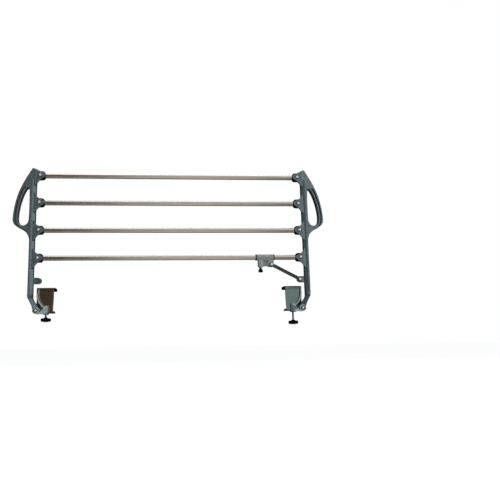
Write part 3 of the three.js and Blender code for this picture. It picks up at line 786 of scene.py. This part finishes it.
EDGE_RIB = [(-1.6, 86), (-1.6, 56), (0.5, 44), (7, 30), (17, 17), (29, 8)]
NECK = softened([(0, -12.4), (34, -12), (34, -5), (16, -5), (9, -9.5)], 6.0, 1)
SHOULDER = softened([(15.2, -12), (37, -12), (37, 13), (31, 13), (24.5, 5.5), (19.5, -1.5), (15.2, -5)], 6.0, 1)


def clamp_field(u, y, h):
    """Clamp casting; u runs inward from the fold pivot."""
    taper = (u - 58) * 0.9984 + np.maximum(0, 50 - h) * 0.04
    plate = np.maximum(slab(u, -5, 58), taper)
    # web with its rolled upper corner, the upper jaw and the lower flange
    body = ext(plate, np.maximum(slab(y, 18, 24), slab(h, -8, 80)), 1.2)
    corner = np.where((y < 27) & (h > 78.5), ln(y - 27, h - 78.5) - 9, -5.0)
    roll = ext(slab(u, -5, 58), np.maximum(slab(y, 18, 30.7), slab(h, 76, 87.5)), 1.0)
    body = smin(body, np.maximum(roll, corner), 0.8)
    jaw = ext(slab(u, -5, 58), np.maximum(slab(y, 22, 69), slab(h, 79, 84.5)), 0.8)
    body = smin(body, jaw, 1.6)
    flange = ext(slab(u, -5, 56), np.maximum(slab(y, 20, 69), slab(h, -8, 0)), 1.2)
    body = smin(body, flange, 1.6)
    under = ext(ln(u - 26, y - 42) - 11, slab(h, -13, -5), 0.8)
    body = smin(body, under, 1.6)
    # rib along the outer edge: low at the top, growing as it curves in to the boss
    grow = np.clip((78 - h) / 44, 0, 1)
    rib = ext(polyline(u, h, EDGE_RIB) - 3.2, slab(y, 16.9 - 9.1 * grow * grow * (3 - 2 * grow), 22), 1.6)
    rib = np.maximum(rib, np.maximum(np.maximum(-5 - u, -8 - h), h - 84))
    body = smin(body, rib, 4.0)
    boss = np.maximum(ext(ln(u - 30, y - 17) - 9.2, slab(h, -8, 19), 4.0), slab(y, 7.6, 23))
    body = smin(body, boss, 3.0)
    # two clevis arms, the shoulder that carries them, and the slot the leg turns in
    r0 = ln(u, h)
    neck = poly2(u, h, NECK)
    for a, b in ((-18.4, -12.35), (2.35, 8.4)):
        arm = ext(smin(r0 - 12.6, neck, 2.0), slab(y, a, b), 0.9)
        body = smin(body, arm, 1.0)
    slope = (u - 19) * 0.81 - (y + 18.4) * 0.586
    shoulder = ext(np.maximum(poly2(u, h, SHOULDER), slope), slab(y, -18.4, 20), 1.4)
    body = smin(body, shoulder, 1.6)
    body = smax(body, -np.maximum(r0 - 14.6, slab(y, -12.3, 2.3)), 0.3)
    # turned recess round the bolt head
    body = smax(body, -np.maximum(np.abs(r0 - 9.2) - 1.1, y + 16.6), 0.4)
    body = np.maximum(body, -np.maximum(r0 - 5.3, y - 11))
    return smax(body, -np.maximum(ln(u - 26, y - 42) - 4.4, slab(h, -20, 5)), 0.4)


CLAMP = shell(clamp_field, (-13, -19, -14), (59, 70, 89), 1.0)


def sleeve_field(u, y, h):
    """Rubber sleeve on the upper jaw, with grip ribs on its seat and a small lip."""
    body = rbox(u, y, h, -8, 61, 31, 72, 75.5, 87.3, 1.6)
    groove = np.abs(((u + 8) % 6.9) - 3.45) - 0.7
    body = smax(body, -np.maximum(np.maximum(groove, slab(h, 73, 76.1)), slab(y, 34, 69)), 0.3)
    for a, b in ((-6.2, -4.9), (57.9, 59.2)):
        body = smax(body, -np.maximum(slab(u, a, b), np.maximum(slab(h, 86.8, 90), slab(y, 34, 69))), 0.3)
    return np.maximum(body, -np.maximum(np.maximum(slab(u, -5.3, 58.3), slab(h, 78.7, 84.8)), slab(y, 20, 69.3)))


SLEEVE = shell(sleeve_field, (-8.1, 30.9, 75.4), (61.1, 72.1, 87.4), 0.9)


def fold_bolt_field(x, y, z):
    r = ln(x, z)
    ball = ln(x, y + 22.6 - 8, z) - 8
    head = smax(ext(r - 4.7, slab(y, -22.6, -18.8), 0.7), ball, 0.6)
    head = np.minimum(head, ext(r - 7.6, slab(y, -19.8, -18.8), 0.3))
    q = np.maximum(np.abs(z), np.maximum(np.abs(x * 0.8660254 + z * 0.5), np.abs(x * 0.8660254 - z * 0.5)))
    head = smax(head, -np.maximum(q - 1.7, y + 20.4), 0.3)
    groove = 0.3 * np.abs(((y / 1.5 + np.arctan2(z, x) / (2 * math.pi)) % 1.0) * 2 - 1) * (y > 9)
    return np.minimum(head, ext(r - 4.85 + groove, slab(y, -19.5, 14.4), 0.5))


FOLD_BOLT = shell(fold_bolt_field, (-7.7, -22.7, -7.7), (7.7, 14.5, 7.7), 0.45)
FOLD_NUT = shell(hex_nut(15.0, 8.8, 13.8, 5.3, 1.2), (-8.8, 8.6, -8.8), (8.8, 13.9, 8.8), 0.42)


def threaded_stud(z0, z1, x, y, n=28, pitch=1.25):
    """M8 stud with a real helical thread, plain at its two ends."""
    per = 6
    m = int((z1 - z0) / pitch * per)
    zz = z0 + (z1 - z0) * np.arange(m + 1) / m
    th = np.arange(n) / n * 2 * math.pi
    ph = (zz[:, None] / pitch + th[None, :] / (2 * math.pi)) % 1.0
    tri = np.clip(np.abs(ph * 2 - 1) * 1.25 - 0.1, 0, 1)
    fade = np.clip(np.minimum(zz - z0 - 1.0, z1 - 4.0 - zz) / 1.2, 0, 1)[:, None]
    r = 3.9 - 0.55 * tri * fade - 0.5 * (1 - np.clip((zz - z0) / 0.6, 0, 1))[:, None] - 0.4 * (1 - np.clip((z1 - zz) / 0.6, 0, 1))[:, None]
    v = np.stack([x + r * np.cos(th), y + r * np.sin(th), np.repeat(zz[:, None], n, 1)], -1).reshape(-1, 3)
    v = np.concatenate([v, [[x, y, z0], [x, y, z1]]])
    f = []
    for i in range(m):
        for k in range(n):
            l = (k + 1) % n
            f.append([i * n + k, i * n + l, (i + 1) * n + l, (i + 1) * n + k])
    a, b = len(v) - 2, len(v) - 1
    for k in range(n):
        l = (k + 1) % n
        f.append([a, l, k])
        f.append([b, m * n + k, m * n + l])
    return v, f


def knob_field(x, y, z):
    """Five-lobed star knob; z = 0 at its top, centre on the axis."""
    r = ln(x, y)
    lobe = r - (16.9 + 2.9 * np.cos(5 * np.arctan2(y, x)))
    dish = 0.012 * np.maximum(0, 15 - r) ** 2
    head = ext(lobe * 0.9, np.maximum(slab(z, -16.6, -3.2), z + 3.2 + dish), 4.8)
    hub = ext((r - 5.6 + 0.75 * z) * 0.8, slab(z, -8, 0), 0.9)
    foot = ext(r - 9.5 - 0.35 * (z + 13), slab(z, -17, -8), 1.6)
    body = smin(smin(head, hub, 2.2), foot, 3.0)
    return smax(body, -np.maximum(r - 4.3, slab(z, -9.3, 4)), 0.3)


KNOB = shell(knob_field, (-20.2, -20.2, -17.2), (20.2, 20.2, 0.2), 0.8)

for side, s in SIDES:
    pad = 32.0 if s < 0 else 12.0
    top = pad - 55.0
    sx = s * (SPAN - 26)
    v, f = CLAMP
    v = v.copy()
    v[:, 0] = s * (SPAN - v[:, 0])
    add(f"{side}_clamp_casting", (v, f), f"{side}_clamp", [f"{side}_clamp_body"],
        # the left clamp's browner paint is a painted reflection
        CLAMP_PAINT_BROWN_REFLECTION if s < 0 else CLAMP_PAINT, flip=s > 0)
    v, f = SLEEVE
    v = v.copy()
    v[:, 0] = s * (SPAN - v[:, 0])
    add(f"{side}_jaw_rubber", (v, f), f"{side}_clamp", [f"{side}_jaw_sleeve"], RUBBER, flip=s > 0, sharp=50)
    add(f"{side}_pivot_bolt", moved(FOLD_BOLT, s * SPAN, 0, 0), f"{side}_clamp",
        [f"{side}_fold_bolt"], BRIGHT)
    # black nylon ring round the bolt's dome: a dark ring put there as painted shade for the shadow round the bolt head
    ring = arc_fillet([(5.0, -19.9), (7.5, -19.9), (7.5, -20.8), (6.6, -21.4), (5.0, -21.4), (5.0, -19.9)], 0.3, 3)[1:]
    add_list(f"{side}_pivot_shade_ring", revolve(ring, 40, "Y", (s * SPAN, 0)), f"{side}_clamp", [], NYLON, 40)
    add(f"{side}_pivot_nut", moved(FOLD_NUT, s * SPAN, 0, 0), f"{side}_clamp",
        [f"{side}_fold_nut"], ZINC)
    add_list(f"{side}_stud", threaded_stud(top - 9, pad - 3.4, sx, 42.0), f"{side}_screw",
             [f"{side}_clamp_screw"], ZINC, 60)
    add(f"{side}_star_knob", moved(KNOB, sx, 42.0, top), f"{side}_screw",
        [f"{side}_clamp_knob"], NYLON)
    prof = [(0, pad - 0.6)]
    for a in (3.0, 6.0, 9.0, 12.0):
        prof += [(a - 0.9, pad - 0.6), (a - 0.6, pad), (a + 0.9, pad), (a + 1.2, pad - 0.6)]
    prof += [(14.0, pad - 0.6), (14.2, pad), (15, pad), (15, pad - 4.5), (13.6, pad - 5.4), (8.6, pad - 6.4),
             (8, pad - 8), (4.4, pad - 8), (4.4, pad - 3), (0, pad - 3)]
    add_list(f"{side}_swivel_pad", revolve(arc_fillet(prof, 0.3, 3), 56, "Z", (sx, 42.0)), f"{side}_pad",
             [f"{side}_pressure_pad"], NYLON, 45)


# --------------------------------------------------------------- slider
ZS = TUBE_Z[3]
FOOT = softened([(106, -3), (104.4, 13), (104.6, 32), (108, 37.4), (124, 37.4), (128, 34), (143, 34), (147, 37.9),
                 (164, 37.9), (166, 31), (166, -3)], 6.0, 2)


def slider_field(u, y, d):
    """Slider casting; u runs inward from the right joint line, d down from the tube axis."""
    sleeve = ext(ln(y, d) - 12, slab(u, 105, 171), 1.0)
    # flat land along the top and a seam bead at each end
    land = ext(slab(y, -7, 7), np.maximum(slab(d, -12, -6), slab(u, 108, 168)), 0.8)
    foot = ext(poly2(u, d, FOOT), slab(y, -8, 8), 1.5)
    body = smin(sleeve, foot, 2.4)
    # window under the sleeve, two pockets with a rib between, on the front and the back
    for y0, y1 in ((-12, -3.2), (3.2, 12)):
        body = smax(body, -ext(np.maximum(slab(u, 126.5, 147), slab(d, 13.4, 18.4)), slab(y, y0, y1), 1.0), 0.8)
        body = smax(body, -ext(np.maximum(slab(u, 128.0, 135.4), slab(d, 20.6, 30.6)), slab(y, y0 if y0 < 0 else 5.6, -5.6 if y0 < 0 else y1), 1.4), 0.8)
        body = smax(body, -ext(np.maximum(slab(u, 138.2, 145.6), slab(d, 20.6, 30.6)), slab(y, y0 if y0 < 0 else 5.6, -5.6 if y0 < 0 else y1), 1.4), 0.8)
    boss = ext(ln(u - 115, d - 29) - 8.2, slab(y, -8.4, 8.1), 0.8)
    body = smin(body, boss, 1.2)
    tower = np.maximum(ext(ln(u - 156, y) - 8.6, slab(d, 12, 38), 1.2), np.abs(y) - 8.3)
    body = smin(body, tower, 1.6)
    body = np.maximum(body, -(ln(y, d) - 11))
    body = np.maximum(body, -np.maximum(ln(u - 156, y) - 4.4, slab(d, 8, 16)))
    body = np.maximum(body, -np.maximum(ln(u - 156, y) - 6.7, slab(d, 15, 42)))
    return np.maximum(body, -np.maximum(ln(u - 115, d - 29) - 3.4, slab(y, -12, 12)))


SLIDER = shell(slider_field, (103, -12.1, -12.1), (172, 12.1, 38.2), 0.85)
v, f = SLIDER
v = np.stack([SPAN - v[:, 0], v[:, 1], ZS - v[:, 2]], 1)
add("slider_casting", (v, f), "slider", ["slider_body"], SLIDER_PAINT)

for name, a, b, c in (("right", 101.0, 104.7, 123.0), ("left", 175.0, 171.3, 165.0)):
    sg = 1 if b > a else -1
    prof = [(9.95, a), (12.0, a), (12.0, b), (10.6, b), (10.6, c), (9.95, c)]
    pts = [(r, SPAN - x) for r, x in prof]
    geo = revolve(arc_fillet([((9.95 + 12) / 2, SPAN - a)] + pts[1:] + [pts[0], ((9.95 + 12) / 2 - 0.01, SPAN - a)], 0.5, 4), 64, "X", (0, ZS))
    add_list(f"slider_collar_{name}", geo, "slider", [f"slider_bush_{name}"], COLLAR, 40)

LX = SPAN - 156.0
plunger = arc_fillet([(0, ZS - 9.9), (3, ZS - 9.9), (3.9, ZS - 11.2), (3.9, ZS - 17), (6.2, ZS - 17), (6.2, ZS - 19),
                      (2.6, ZS - 19), (2.6, ZS - 50), (0, ZS - 50)], 0.4, 4)
add_list("lock_plunger", revolve(plunger, 48, "Z", (LX, 0)), "latch", ["latch_plunger"], ZINC, 40)
bell = [(0, ZS - 50.4), (3, ZS - 50.4)] + arc_fillet(
    [(3, ZS - 41.5), (4.2, ZS - 41.5), (4.8, ZS - 44.4), (7.0, ZS - 47.4), (8.8, ZS - 50.4), (9, ZS - 53.4),
     (9, ZS - 56), (7.4, ZS - 58), (0, ZS - 58)], 0.9, 5)
add_list("pull_knob", revolve(bell, 56, "Z", (LX, 0)), "latch", ["latch_knob"], NYLON, 50)


def gland_field(x, y, d):
    r = ln(x, y)
    barrel = ext(r - 6.2, slab(d, 33, 38.6), 0.4)
    q = np.maximum(np.abs(x), np.maximum(np.abs(y * 0.8660254 + x * 0.5), np.abs(y * 0.8660254 - x * 0.5)))
    head = ext(q - 6.6, slab(d, 38.3, 40.5), 0.3)
    return np.maximum(np.minimum(barrel, head), -(r - 3.0))


v, f = shell(gland_field, (-7.7, -7.7, 32.9), (7.7, 7.7, 40.6), 0.4)
add("lock_gland", (np.stack([LX + v[:, 0], v[:, 1], ZS - v[:, 2]], 1), f), "slider", ["latch_gland"], ZINC, flip=True)


def coil_geo(r, wire, z0, z1, turns, x, y, n=12, per=36):
    m = int(turns * per)
    v, f = [], []
    for i in range(m + 1):
        t = i / m
        a = t * turns * 2 * math.pi
        c = np.array([x + r * math.cos(a), y + r * math.sin(a), z0 + (z1 - z0) * t])
        out = np.array([math.cos(a), math.sin(a), 0.0])
        tan = np.array([-r * math.sin(a), r * math.cos(a), (z1 - z0) / (turns * 2 * math.pi)])
        tan /= np.linalg.norm(tan)
        up = np.cross(tan, out)
        for k in range(n):
            b = k / n * 2 * math.pi
            v.append(c + wire * (out * math.cos(b) + up * math.sin(b)))
    for i in range(m):
        for k in range(n):
            l = (k + 1) % n
            f.append([i * n + k, (i + 1) * n + k, (i + 1) * n + l, i * n + l])
    f.append(list(range(n)))
    f.append(list(range(m * n, m * n + n))[::-1])
    return np.array(v), f


add_list("return_spring", coil_geo(4.7, 0.6, ZS - 20, ZS - 32.2, 4.0, LX, 0), "slider",
         ["latch_spring"], SPRING, 60)
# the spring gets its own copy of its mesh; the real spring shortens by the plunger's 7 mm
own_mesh(bpy.data.objects["return_spring"])


# --------------------------------------------------------------- brace link
UP = np.array([SPAN - 115.0, ZS - 29.0])
LOW = np.array([SPAN - 6.0, LUG_H])
LINK_LEN = float(np.linalg.norm(LOW - UP))
LU = (LOW - UP) / LINK_LEN
LV = np.array([-LU[1], LU[0]])


def link_field(a, y, b):
    """Brace link: a runs along it from the slider pin, b across."""
    bar2 = np.maximum(slab(b, -6.4, 6.4), slab(a, 0, LINK_LEN))
    ends = np.minimum(ln(a, b) - 7.9, ln(a - LINK_LEN, b) - 7.9)
    body = ext(smin(bar2, ends, 2.0), slab(y, -15.4, -8.6), 0.9)
    # lengthwise channel with a low rib down its middle
    ch = np.maximum(slab(b, -4.2, 4.2), slab(a, 11.5, LINK_LEN - 11.5))
    body = smax(body, -ext(ch, slab(y, -19, -11.6), 0.7), 0.6)
    rib = ext(np.maximum(slab(b, -0.9, 0.9), slab(a, 9, LINK_LEN - 9)), slab(y, -13.9, -10.4), 0.5)
    body = smin(body, rib, 0.8)
    back = np.maximum(slab(b, -4.0, 4.0), slab(a, 12, LINK_LEN - 12))
    body = smax(body, -ext(back, slab(y, -9.4, -4), 0.7), 0.6)
    for c in (0.0, LINK_LEN):
        r = ln(a - c, b)
        body = smin(body, ext(r - 6.4, slab(y, -15.7, -8.6), 0.4), 0.5)
        body = np.maximum(body, -(r - 3.4))
    return body


v, f = shell(link_field, (-8, -15.8, -8), (LINK_LEN + 8, -8.5, 8), 0.75)
w = np.stack([UP[0] + v[:, 0] * LU[0] + v[:, 2] * LV[0], v[:, 1], UP[1] + v[:, 0] * LU[1] + v[:, 2] * LV[1]], 1)
add("brace_bar", (w, f), "link", ["brace_link"], LINK_METAL)

LONG_SCREW = shell(pan_screw(-18.9, 5.2, -15.8, 2.95, 13.0, 2.6), (-5.3, -19, -5.3), (5.3, 13.1, 5.3), 0.36)
SHORT_SCREW = shell(pan_screw(-18.9, 5.2, -15.8, 2.95, -8.4, 2.6), (-5.3, -19, -5.3), (5.3, -8.3, 5.3), 0.36)
SMALL_NUT = shell(hex_nut(10.0, 8.3, 12.4, 3.4, 1.0), (-5.9, 8.1, -5.9), (5.9, 12.5, 5.9), 0.36)
add("brace_screw_upper", moved(LONG_SCREW, UP[0], 0, UP[1]), "slider", ["link_upper_screw"], BRIGHT)
add("brace_nut_upper", moved(SMALL_NUT, UP[0], 0, UP[1]), "slider", ["link_upper_nut"], ZINC)
add("brace_screw_lower", moved(SHORT_SCREW, LOW[0], 0, LOW[1]), "link", ["link_lower_screw"], BRIGHT)


# --------------------------------------------------------------- floor, light, world
def floor():
    m = Mat("studio_floor")
    n = m.noise(3.0, 2.0, 0.5)
    m.link(m.ramp(n, [(0.3, (0.87, 0.87, 0.87)), (0.7, (0.90, 0.90, 0.90))]), "Base Color")
    m.link(m.range(n, 0.3, 0.7, 0.75, 0.85), "Roughness")
    m.set(Specular_IOR_Level=0.1, Emission_Color=(1, 1, 1, 1), Emission_Strength=0.55)
    z = to_row((0, 0, -450))[2]
    me = bpy.data.meshes.new("floor")
    me.from_pydata([(-20, -20, z), (20, -20, z), (20, 30, z), (-20, 30, z)], [], [(0, 1, 2, 3)])
    me.materials.append(m.m)
    o = bpy.data.objects.new("floor", me)
    bpy.context.scene.collection.objects.link(o)
    o.visible_glossy = o.visible_diffuse = False


floor()


def area(name, pos, target, size, power, color=(1, 1, 1)):
    d = bpy.data.lights.new(name, "AREA")
    d.shape, d.size, d.size_y = "RECTANGLE", size[0] / 1000, size[1] / 1000
    d.energy, d.color = power, color
    o = bpy.data.objects.new(name, d)
    bpy.context.scene.collection.objects.link(o)
    p, t = to_row(pos), to_row(target)
    z = p - t
    z /= np.linalg.norm(z)
    x = np.cross((0, 0, 1), z)
    x /= np.linalg.norm(x)
    y = np.cross(z, x)
    m = Matrix.Identity(4)
    for i in range(3):
        m[i][0], m[i][1], m[i][2], m[i][3] = x[i], y[i], z[i], p[i]
    o.matrix_world = m
    return o


area("key_front_right", (3600, -3200, 1100), (0, 0, 250), (2500, 2500), 45, (0.90, 0.96, 1.0))
area("fill_top", (-100, 200, 2200), (0, 0, 250), (2400, 1200), 18)
area("back_high", (-300, 3400, 3300), (0, 0, 250), (2200, 1600), 190).visible_glossy = False


def world():
    w = bpy.data.worlds.new("studio")
    bpy.context.scene.world = w
    w.use_nodes = True
    n, l = w.node_tree.nodes, w.node_tree.links
    n.clear()
    out = n.new("ShaderNodeOutputWorld")
    tc = n.new("ShaderNodeTexCoord")
    sep = n.new("ShaderNodeSeparateXYZ")
    l.new(tc.outputs["Generated"], sep.inputs[0])

    def rng(v, a, b, c, d, smooth=True):
        t = n.new("ShaderNodeMapRange")
        t.interpolation_type = "SMOOTHSTEP" if smooth else "LINEAR"
        for i, x in enumerate((a, b, c, d)):
            t.inputs[i + 1].default_value = x
        l.new(v, t.inputs[0])
        return t.outputs[0]

    def mixc(fac, a, b):
        t = n.new("ShaderNodeMix")
        t.data_type = "RGBA"
        for i, v in ((0, fac), (6, a), (7, b)):
            if isinstance(v, tuple):
                t.inputs[i].default_value = rgba(v)
            else:
                l.new(v, t.inputs[i])
        return t.outputs[2]

    def strip(v, stops):
        t = n.new("ShaderNodeValToRGB")
        e = t.color_ramp.elements
        while len(e) > 1:
            e.remove(e[-1])
        e[0].position, e[0].color = (stops[0][0] + 1) / 2, rgba(stops[0][1])
        for pos, c in stops[1:]:
            e.new((pos + 1) / 2).color = rgba(c)
        l.new(rng(v, -1.0, 1.0, 0.0, 1.0, False), t.inputs[0])
        return t.outputs[0]

    x, y, z = sep.outputs
    # by height: a dim brown room in front on the left, a pale one on the right with a dark floor
    left = strip(z, [(-1.0, (0.40, 0.37, 0.34)), (-0.55, (0.12, 0.105, 0.09)), (-0.22, (0.05, 0.040, 0.029)),
                     (0.0, (0.15, 0.080, 0.052)), (0.10, (0.14, 0.075, 0.048)), (0.26, (0.045, 0.036, 0.025)),
                     (0.60, (0.040, 0.034, 0.026)), (0.93, (0.14, 0.13, 0.12)), (1.0, (0.50, 0.50, 0.50))])
    right = strip(z, [(-1.0, (0.36, 0.34, 0.33)), (-0.7, (0.20, 0.19, 0.18)), (-0.25, (0.11, 0.10, 0.095)),
                      (0.0, (0.14, 0.13, 0.12)), (0.06, (0.60, 0.58, 0.56)), (0.40, (0.95, 0.91, 0.87)),
                      (0.80, (0.85, 0.83, 0.81)), (1.0, (0.75, 0.75, 0.75))])
    front = mixc(rng(x, -0.24, 0.10, 0.0, 1.0), left, right)
    # a pale floor in the middle, dark again to either side
    mid = strip(z, [(-1.0, (0.88, 0.83, 0.78)), (-0.5, (0.80, 0.74, 0.68)), (-0.1, (0.60, 0.55, 0.50)),
                    (0.06, (0.62, 0.575, 0.53)), (0.20, (0.80, 0.76, 0.72)), (0.45, (0.90, 0.86, 0.82)),
                    (0.80, (0.70, 0.68, 0.66)), (1.0, (0.7, 0.7, 0.7))])
    both = n.new("ShaderNodeMath")
    both.operation = "MULTIPLY"
    l.new(rng(x, -0.16, 0.0, 0.0, 1.0), both.inputs[0])
    l.new(rng(x, 0.14, 0.24, 1.0, 0.0), both.inputs[1])
    front = mixc(both.outputs[0], front, mid)
    # round to the right a window, and beyond the brown corner on the left a mid grey wall
    front = mixc(rng(x, 0.40, 0.62, 0.0, 1.0), front, (0.70, 0.77, 0.81))
    front = mixc(rng(x, -0.40, -0.60, 0.0, 1.0), front, (0.42, 0.45, 0.46))
    # both end in dark corners
    front = mixc(rng(x, 0.82, 0.93, 0.0, 1.0), front, (0.03, 0.03, 0.035))
    front = mixc(rng(x, -0.80, -0.92, 0.0, 1.0), front, (0.03, 0.03, 0.035))
    rear = strip(z, [(-1.0, (0.30, 0.30, 0.30)), (-0.6, (0.06, 0.06, 0.06)), (0.0, (0.075, 0.076, 0.08)),
                     (0.35, (0.12, 0.122, 0.125)), (0.75, (0.42, 0.43, 0.44)), (1.0, (0.95, 0.95, 0.95))])
    amb = mixc(rng(y, -0.30, 0.05, 0.0, 1.0), front, rear)
    bg = n.new("ShaderNodeBackground")
    l.new(amb, bg.inputs[0])
    bg.inputs[1].default_value = 1.0
    seen = n.new("ShaderNodeBackground")
    seen.inputs[0].default_value = (1.0, 1.0, 1.0, 1.0)
    seen.inputs[1].default_value = 1.0
    lp = n.new("ShaderNodeLightPath")
    mx = n.new("ShaderNodeMixShader")
    l.new(lp.outputs["Is Camera Ray"], mx.inputs[0])
    l.new(bg.outputs[0], mx.inputs[1])
    l.new(seen.outputs[0], mx.inputs[2])
    l.new(mx.outputs[0], out.inputs[0])


world()
bpy.context.scene.view_settings.view_transform = "Standard"
bpy.context.scene.view_settings.look = "None"
